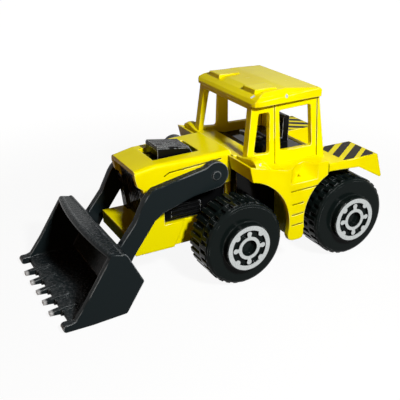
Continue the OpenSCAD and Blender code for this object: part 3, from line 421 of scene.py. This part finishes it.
@dataclass(frozen=True)
class StampedFoil(Finish):
    """Hot-stamped aluminium foil on the wheel faces.

    The eye gets a pale satin silver with a speckle where the foil has gone thin with use.
    The real speckle is finer and is drawn this coarse to show.

    Attributes:
        thin, thin_share: Colour of the thinned foil and its share.
        speckle_mm, speckle_levels: Size of the specks, and the noise levels from whole
        foil to thinned foil.
        speckle_strength, speckle_deep_mm: Strength and depth of the specks.
        dull_gain: How much rougher the thinned foil is.
    """

    thin: str = "#8E9494"
    thin_share: float = 0.45
    speckle_mm: float = 0.28
    speckle_levels: Point = (0.35, 0.75)
    speckle_strength: float = 0.3
    speckle_deep_mm: float = 0.03
    dull_gain: float = 0.25

    def patterns(self, tree: bpy.types.NodeTree, place: bpy.types.NodeSocket) -> Inputs:
        """Makes the speckle of colour, roughness and height, as the base class says."""
        noise = add(tree, Kind.NOISE, {
            "Vector": place, "Scale": per_size(self.speckle_mm), "Detail": MEDIUM})
        speck = add(tree, Kind.SPREAD, {
            "Value": noise, "From Min": self.speckle_levels[0],
            "From Max": self.speckle_levels[1]}, **SMOOTH)
        share = add(tree, Kind.SUM, {0: speck, 1: self.thin_share}, operation="MULTIPLY")
        colour = add(tree, Kind.MIX, {
            SHARE: share, UNDER: linear(self.colour), OVER: linear(self.thin)},
            **COLOURS).outputs[MIXED]
        dull = add(tree, Kind.SPREAD, {
            "Value": speck, "To Min": self.roughness, "To Max": self.roughness + self.dull_gain})
        bump = add(tree, Kind.BUMP, {
            "Strength": self.speckle_strength, "Distance": self.speckle_deep_mm * MM,
            "Height": speck})
        return {"Base Color": colour, "Roughness": dull, "Normal": bump}


@dataclass(frozen=True)
class DrawnWire(Finish):
    """Drawn steel wire and turned rivets.

    The eye gets a grey metal with fine lines along the length. The real lines are about
    a hundredth of a millimetre apart and are drawn this coarse to show.

    Attributes:
        line_mm: Width of a line.
        draw: Scale of the noise along each axis; the small one is along the wire.
        dull_change: Change of roughness from the smoothest line to the roughest.
    """

    line_mm: float = 0.12
    draw: Triple = (1.0, 0.05, 1.0)
    dull_change: Point = (-0.1, 0.2)

    def patterns(self, tree: bpy.types.NodeTree, place: bpy.types.NodeSocket) -> Inputs:
        """Makes the drawing lines in the roughness, as the base class says."""
        drawn = add(tree, Kind.STRETCH, {"Vector": place, "Scale": self.draw})
        lines = add(tree, Kind.NOISE, {
            "Vector": drawn, "Scale": per_size(self.line_mm), "Detail": BROAD})
        dull = add(tree, Kind.SPREAD, {
            "Value": lines, "To Min": self.roughness + self.dull_change[0],
            "To Max": self.roughness + self.dull_change[1]})
        return {"Roughness": dull}


@dataclass(frozen=True)
class StripeInk(Finish):
    """Pad-printed black ink on the enamel.

    The eye gets a soft black that wears through to the paint in small specks.

    Attributes:
        under: Colour of the paint below.
        rub_mm, rub_levels: Size of the specks where the paint shows, and the noise levels from ink
            to paint.
    """

    under: str = "#F2DC00"
    rub_mm: float = 0.5
    rub_levels: Point = (0.7, 0.78)

    def patterns(self, tree: bpy.types.NodeTree, place: bpy.types.NodeSocket) -> Inputs:
        """Makes the worn specks, as the base class says."""
        noise = add(tree, Kind.NOISE, {
            "Vector": place, "Scale": per_size(self.rub_mm), "Detail": FINE})
        paler_share = add(tree, Kind.SPREAD, {
            "Value": noise, "From Min": self.rub_levels[0],
            "From Max": self.rub_levels[1]}, **SMOOTH)
        colour = add(tree, Kind.MIX, {
            SHARE: paler_share, UNDER: linear(self.colour), OVER: linear(self.under)},
            **COLOURS).outputs[MIXED]
        return {"Base Color": colour}


# The castings: a clean yellow with three knocked spots, on the left fender and the roof's edge,
# with painted shade in corners and painted highlights on outer edges
YELLOW = SprayedEnamel(
    "yellow_stoving_enamel", "#FAEB00", 0.25, 0.03, glint_rub_mm=5.0, glint_rub_from=0.45, glint_rub_share=0.7,
    chips_mm=(((-5.65, 15.28, 24.48), 0.6), ((-7.44, 9.27, 36.19), 0.85),
              ((-13.69, 11.68, 36.0), 0.7)))
# The shovel: a blue-black that is dusty and scuffed on top, with painted edge highlights that also
# stand for rubbing, and tooth tips paled partly by wear, partly as painted highlight
SHOVEL_BLACK = MouldedPlastic(
    "moulded_black_nylon", "#182022", 0.16, 0.05, edge_mm=0.4, glint_rub_mm=6.0, glint_rub_from=0.4,
    glint_rub_share=0.55, dust_share=0.3, scuff_strength=0.6, tip_x_mm=36.0)
# Engine, base and cab inside: a deep black with strong painted highlights on the thin ribs and
# outer edges, which also stand for rubbing
GLOSS_BLACK = MouldedPlastic(
    "moulded_black_polystyrene", "#0B0C0D", 0.12, 0.1, edge_mm=0.22, glint_rub_mm=1.5,
    glint_rub_from=0.36, glint_rub_share=0.9, edge_glint_rub="#C8CCCC", dust_share=0.04)
# The grille: the same plastic with weaker painted edge highlights and rubbing, and no dust
GRILLE_BLACK = replace(
    GLOSS_BLACK, name="moulded_black_grille_polystyrene", glint_rub_from=0.42, glint_rub_share=0.2,
    dust_share=0.0)
# The wheels: a green-black with plain walls and faint painted highlights on the lugs' edges, which
# also stand for rubbing
WHEEL_BLACK = MouldedPlastic(
    "moulded_black_wheel_vinyl", "#0F1615", 0.12, 0.06, glint_rub_from=0.48, glint_rub_share=0.4,
    edge_glint_rub="#A8ACAC", dust_share=0.0)
FOIL = StampedFoil("hot_stamped_foil", "#C9CDCC", 0.34, metallic=1.0)
WIRE = DrawnWire("drawn_steel_wire", "#A8A8A6", 0.35, metallic=1.0)
RIVET = DrawnWire("turned_aluminium", "#BDBDBB", 0.35, metallic=1.0)
INK = StripeInk("pad_print_black", "#1A1612", 0.5, 0.06)


def dress_node(name: str, finish: Finish) -> None:
    """Gives a CAD node its finish."""
    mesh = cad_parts[name].data
    mesh.materials.clear()
    mesh.materials.append(finish.material())
    LOG.info("%s in %s", name, finish.name)


def add_piece(name: str, mesh: bpy.types.Mesh, body: str,
              finish: Finish) -> bpy.types.Object:
    """Adds a new piece that rides on a body.

    Args:
        name: Name of the piece.
        mesh: Its mesh in the row frame.
        body: Body that it moves with.
        finish: Finish of the piece.

    Returns:
        The new object.
    """
    piece = bpy.data.objects.new(name, mesh)
    bpy.context.scene.collection.objects.link(piece)
    mesh.materials.append(finish.material())
    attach(piece, body)
    LOG.info("%s on %s", name, body)
    return piece


def bridge(work: bmesh.types.BMesh, ends: list[list[bmesh.types.BMVert]]) -> None:
    """Closes a prism between two outlines of the same number of corners."""
    work.faces.new(ends[0])
    work.faces.new(ends[1])
    count = len(ends[0])
    for i in range(count):
        j = (i + 1) % count
        work.faces.new((ends[0][i], ends[0][j], ends[1][j], ends[1][i]))


@dataclass
class HazardStripes:
    """Printed warning stripes on the flat top of one rear wing, sizes in millimetres.

    Attributes:
        side: Which wing carries them.
        edges: Where each stripe begins and ends on the front line of the field.
        front_x, rear_x: Ends of the printed field.
        inner_y, outer_y: Its edges from the centre plane.
        slope: How far a stripe moves outward for each millimetre forward.
        height: Height of the wing's top at the field's front line.
        fall: How far the top falls over the field.
        ink_t: Thickness of the ink.
    """

    side: Side
    edges: tuple[Point, ...]
    front_x: float = -25.95
    rear_x: float = -34.15
    inner_y: float = 6.4
    outer_y: float = 15.2
    slope: float = 0.755
    height: float = 21.518
    fall: float = 0.067
    ink_t: float = 0.02

    def build(self) -> bpy.types.Object:
        """Builds the stripes as thin plates of ink on the wing.

        Returns:
            The piece with all stripes of this wing.
        """
        work = bmesh.new()
        for low, high in self.edges:
            self.stripe(work, low, high)
        mesh = bpy.data.meshes.new(f"stripes_{self.side.name.lower()}")
        bmesh.ops.recalc_face_normals(work, faces=work.faces)
        work.to_mesh(mesh)
        work.free()
        return add_piece(mesh.name, mesh, "chassis", INK)

    def stripe(self, work: bmesh.types.BMesh, low: float, high: float) -> None:
        """Adds one stripe, cut to the printed field.

        Args:
            work: Mesh that gets the stripe.
            low: Where its inner edge meets the front line.
            high: Where its outer edge meets the front line.
        """
        outline = [(self.front_x, self.inner_y), (self.front_x, self.outer_y),
                   (self.rear_x, self.outer_y), (self.rear_x, self.inner_y)]
        outline = self.cut(outline, low, 1)
        outline = self.cut(outline, high, -1)
        if len(outline) < 3:
            return
        ends: list[list[bmesh.types.BMVert]] = []
        for lift in (-self.ink_t, self.ink_t):
            ends.append([work.verts.new((x * MM, self.side.value * y * MM, self.top(x, lift) * MM))
                         for x, y in outline])
        bridge(work, ends)

    def top(self, x: float, lift: float) -> float:
        """Gives the height of the wing's top at x, plus a lift."""
        return self.height - self.fall * (self.front_x - x) / (self.front_x - self.rear_x) + lift

    def cut(self, outline: list[Point], level: float, sign: int) -> list[Point]:
        """Keeps the part of an outline on one side of a stripe edge.

        Args:
            outline: Corner points in plan.
            level: Where the edge meets the front line.
            sign: One to keep what lies outward of the edge, minus one for inward.

        Returns:
            Corner points of the part that stays.
        """
        kept: list[Point] = []
        depth = [sign * (y - self.slope * (x - self.front_x) - level) for x, y in outline]
        for i, here in enumerate(outline):
            after = (i + 1) % len(outline)
            if depth[i] >= 0:
                kept.append(here)
            if depth[i] * depth[after] < 0:
                part = depth[i] / (depth[i] - depth[after])
                there = outline[after]
                kept.append((here[0] + part * (there[0] - here[0]),
                             here[1] + part * (there[1] - here[1])))
        return kept


@dataclass
class Castings:
    """The two painted castings and the print on their wings."""

    nodes: tuple[str, ...] = ("body_casting", "roof_casting")
    left_edges: tuple[Point, ...] = ((7.75, 9.9), (11.35, 13.45), (14.9, 17.1), (18.4, 20.8))
    right_edges: tuple[Point, ...] = ((6.9, 8.3), (10.2, 11.8), (13.7, 15.4), (17.0, 18.7),
                                      (20.3, 22.2))

    def build(self) -> None:
        """Dresses both castings and prints the stripes."""
        for name in self.nodes:
            dress_node(name, YELLOW)
        HazardStripes(Side.LEFT, self.left_edges).build()
        HazardStripes(Side.RIGHT, self.right_edges).build()


@dataclass
class GrilleCheeks:
    """Ribbed cheeks that carry the radiator grille out to the hood's width, in millimetres.

    Attributes:
        foot, head: Ends of the leaning front line, along X and up.
        inner_y, outer_y: Edges of a cheek from the centre plane.
        ribs: Number of upright ribs.
        plate_t, rib_t: How far the plate and its ribs stand in front of the line.
        sunk_t: How far the back of the plate lies behind it.
        flank: Width of the slope beside a rib.
    """

    foot: Point = (14.235, 12.06)
    head: Point = (15.035, 19.6)
    inner_y: float = 4.5
    outer_y: float = 6.66
    ribs: int = 4
    plate_t: float = 0.08
    rib_t: float = 0.18
    sunk_t: float = 0.02
    flank: float = 0.06

    def build(self) -> bpy.types.Object:
        """Builds both cheeks as one piece.

        Returns:
            The piece with both cheeks.
        """
        work = bmesh.new()
        for side in Side:
            ends = [[work.verts.new(((x + ahead) * MM, side.value * y * MM, z * MM))
                     for ahead, y in self.section()] for x, z in (self.foot, self.head)]
            bridge(work, ends)
        mesh = bpy.data.meshes.new("grille_cheeks")
        bmesh.ops.recalc_face_normals(work, faces=work.faces)
        work.to_mesh(mesh)
        work.free()
        return add_piece(mesh.name, mesh, "chassis", GRILLE_BLACK)

    def section(self) -> list[Point]:
        """Gives the cut through a cheek, as how far ahead of the line and Y."""
        pitch = (self.outer_y - self.inner_y) / (2 * self.ribs - 1)
        points: list[Point] = [(-self.sunk_t, self.inner_y)]
        for rib in range(self.ribs):
            low = self.inner_y + 2 * rib * pitch
            if rib:
                points.append((self.plate_t, low - self.flank))
            points += [(self.rib_t, low), (self.rib_t, low + pitch)]
            if rib < self.ribs - 1:
                points.append((self.plate_t, low + pitch + self.flank))
        return points + [(-self.sunk_t, self.outer_y)]


@dataclass
class Mouldings:
    """The black mouldings fixed in the castings."""

    nodes: tuple[str, ...] = ("base_plate", "engine_insert", "cab_interior", "steering_wheel")
    grille: str = "radiator_grille"

    def build(self) -> None:
        """Dresses the mouldings."""
        for name in self.nodes:
            dress_node(name, GLOSS_BLACK)
        dress_node(self.grille, GRILLE_BLACK)
        GrilleCheeks().build()


@dataclass
class Shovel:
    """The shovel with its two arms."""

    node: str = "loader_shovel"

    def build(self) -> None:
        """Dresses the shovel."""
        dress_node(self.node, SHOVEL_BLACK)


@dataclass
class RunningGear:
    """Wheels, hub foils, axles and rivets."""

    corners: tuple[str, ...] = ("front_left", "front_right", "rear_left", "rear_right")
    ends: tuple[str, ...] = ("front", "rear")

    def build(self) -> None:
        """Dresses the wheels and the metal pieces."""
        for corner in self.corners:
            dress_node(f"{corner}_wheel", WHEEL_BLACK)
            dress_node(f"{corner}_hub_foil", FOIL)
        for end in self.ends:
            dress_node(f"{end}_axle", WIRE)
            dress_node(f"{end}_rivet", RIVET)


@dataclass
class Lamp:
    """One soft area lamp that points at the toy."""

    name: str
    place: Triple
    size: float
    power: float
    colour: Triple = (1.0, 1.0, 1.0)

    def build(self, aim: Vector) -> None:
        """Adds the lamp and turns it to the aim point."""
        light = bpy.data.lights.new(self.name, "AREA")
        light.shape = "DISK"
        light.size = self.size
        light.energy = self.power
        light.color = self.colour
        holder = bpy.data.objects.new(self.name, light)
        holder.location = self.place
        holder.rotation_euler = (aim - Vector(self.place)).to_track_quat("-Z", "Y").to_euler()
        bpy.context.scene.collection.objects.link(holder)


@dataclass
class Studio:
    """Floor, lamps, world and camera.

    Attributes:
        camera_place: Where the camera stands.
        azimuth, elevation, roll: Its direction in degrees.
        focal_px, frame_px: Focal length and width of the frame in pixels.
        sensor_mm, clip_start: Width of the sensor, and the nearest depth that is drawn.
        floor_half, floor_colour: Half the floor's width and its colour in shadow.
        floor_glow: Its own light under the toy, kept lower there as a painted shade round
        the toy, which fades up to white.
        fade_near, fade_far: Distances from the middle between which it fades.
        fill_colour, fill_level: Light from all round.
        aim: Point that the lamps are turned to.
        lamps: Key lamp as in the photograph, and two weak ones in front and behind.
    """

    camera_place: Triple = (0.061865, 0.120852, 0.073184)
    azimuth: float = 152.74
    elevation: float = 24.073
    roll: float = -1.191
    focal_px: float = 700.84
    frame_px: float = 400.0
    sensor_mm: float = 36.0
    clip_start: float = 0.005
    floor_half: float = 3.0
    floor_colour: str = "#4C4C4C"
    floor_glow: float = 0.92
    fade_near: float = 0.05
    fade_far: float = 0.14
    fill_colour: Triple = (1.0, 0.7, 0.45)
    fill_level: float = 0.012
    aim: Triple = (0.0, 0.0, 0.016)
    lamps: list[Lamp] = field(default_factory=lambda: [
        Lamp("key", (-0.008, 0.140, 0.125), 0.025, 0.34),
        Lamp("front", (0.34, 0.16, 0.05), 0.2, 0.16, (1.0, 0.4, 0.12)),
        Lamp("back", (-0.32, -0.14, 0.08), 0.2, 0.3, (1.0, 0.9, 0.7))])

    def build(self) -> None:
        """Sets up the whole studio."""
        self.floor()
        self.world()
        for lamp in self.lamps:
            lamp.build(Vector(self.aim))
        self.camera()
        bpy.context.scene.view_settings.view_transform = "Standard"

    def shown(self, tree: bpy.types.NodeTree) -> bpy.types.Node:
        """Gives one for rays that show the background: camera, glossy and transmission rays."""
        ray = add(tree, Kind.RAY).outputs
        seen = add(tree, Kind.SUM, {0: ray["Is Camera Ray"], 1: ray["Is Glossy Ray"]},
                   operation="MAXIMUM")
        return add(tree, Kind.SUM, {0: seen, 1: ray["Is Transmission Ray"]}, operation="MAXIMUM")

    def floor(self) -> None:
        """Lays a pale floor that keeps the toy's shadow."""
        half = self.floor_half
        mesh = bpy.data.meshes.new("floor")
        mesh.from_pydata([(-half, -half, 0), (half, -half, 0), (half, half, 0), (-half, half, 0)],
                         [], [(0, 1, 2, 3)])
        made = bpy.data.materials.new("pale_paper")
        made.use_nodes = True
        tree = made.node_tree
        tree.nodes.clear()
        paper = add(tree, Kind.DIFFUSE, {"Color": linear(self.floor_colour)})
        place = add(tree, Kind.SURFACE).outputs["Position"]
        far = add(tree, Kind.VECTOR, {0: place}, operation="LENGTH").outputs["Value"]
        # Glow is lower near the toy, a painted shade round it that fades up to white
        level = add(tree, Kind.SPREAD, {
            "Value": far, "From Min": self.fade_near, "From Max": self.fade_far,
            "To Min": self.floor_glow, "To Max": 1.0}, **SMOOTH)
        strength = add(tree, Kind.SUM, {0: self.shown(tree), 1: level}, operation="MULTIPLY")
        glow = add(tree, Kind.GLOW, {"Strength": strength})
        add(tree, Kind.OUTPUT, {"Surface": add(tree, Kind.BOTH, {0: paper, 1: glow})})
        mesh.materials.append(made)
        floor = bpy.data.objects.new("floor", mesh)
        bpy.context.scene.collection.objects.link(floor)

    def world(self) -> None:
        """Makes a white backdrop with a dim warm fill for the toy."""
        world = bpy.data.worlds.new("studio")
        world.use_nodes = True
        tree = world.node_tree
        tree.nodes.clear()
        fill = add(tree, Kind.BACKGROUND, {"Color": (*self.fill_colour, 1.0),
                                           "Strength": self.fill_level})
        white = add(tree, Kind.BACKGROUND, {"Color": (1, 1, 1, 1), "Strength": 1.0})
        both = add(tree, Kind.EITHER, {0: self.shown(tree), 1: fill, 2: white})
        add(tree, Kind.WORLD, {"Surface": both})
        bpy.context.scene.world = world

    def camera(self) -> None:
        """Sets the camera at the photograph's viewing angle."""
        turn, rise, lean = (math.radians(v) for v in (self.azimuth, self.elevation, self.roll))
        back = Vector((math.sin(turn) * math.cos(rise), -math.cos(turn) * math.cos(rise),
                       math.sin(rise)))
        right = Vector((math.cos(turn), math.sin(turn), 0.0))
        up = back.cross(right)
        level = Matrix((right, up, back)).transposed()
        view = (level @ Matrix.Rotation(lean, 3, "Z")).to_4x4()
        view.translation = self.camera_place
        lens = bpy.data.cameras.new("camera")
        lens.sensor_width = self.sensor_mm
        lens.lens = self.focal_px / self.frame_px * self.sensor_mm
        lens.clip_start = self.clip_start
        holder = bpy.data.objects.new("camera", lens)
        holder.matrix_world = view
        bpy.context.scene.collection.objects.link(holder)
        bpy.context.scene.camera = holder


def main() -> None:
    """Builds the studio and dresses every piece of the toy."""
    logging.basicConfig(level=logging.INFO, format="%(name)s: %(message)s")
    Studio().build()
    for group in (Castings(), Mouldings(), Shovel(), RunningGear()):
        group.build()


if __name__ == "__main__":
    main()
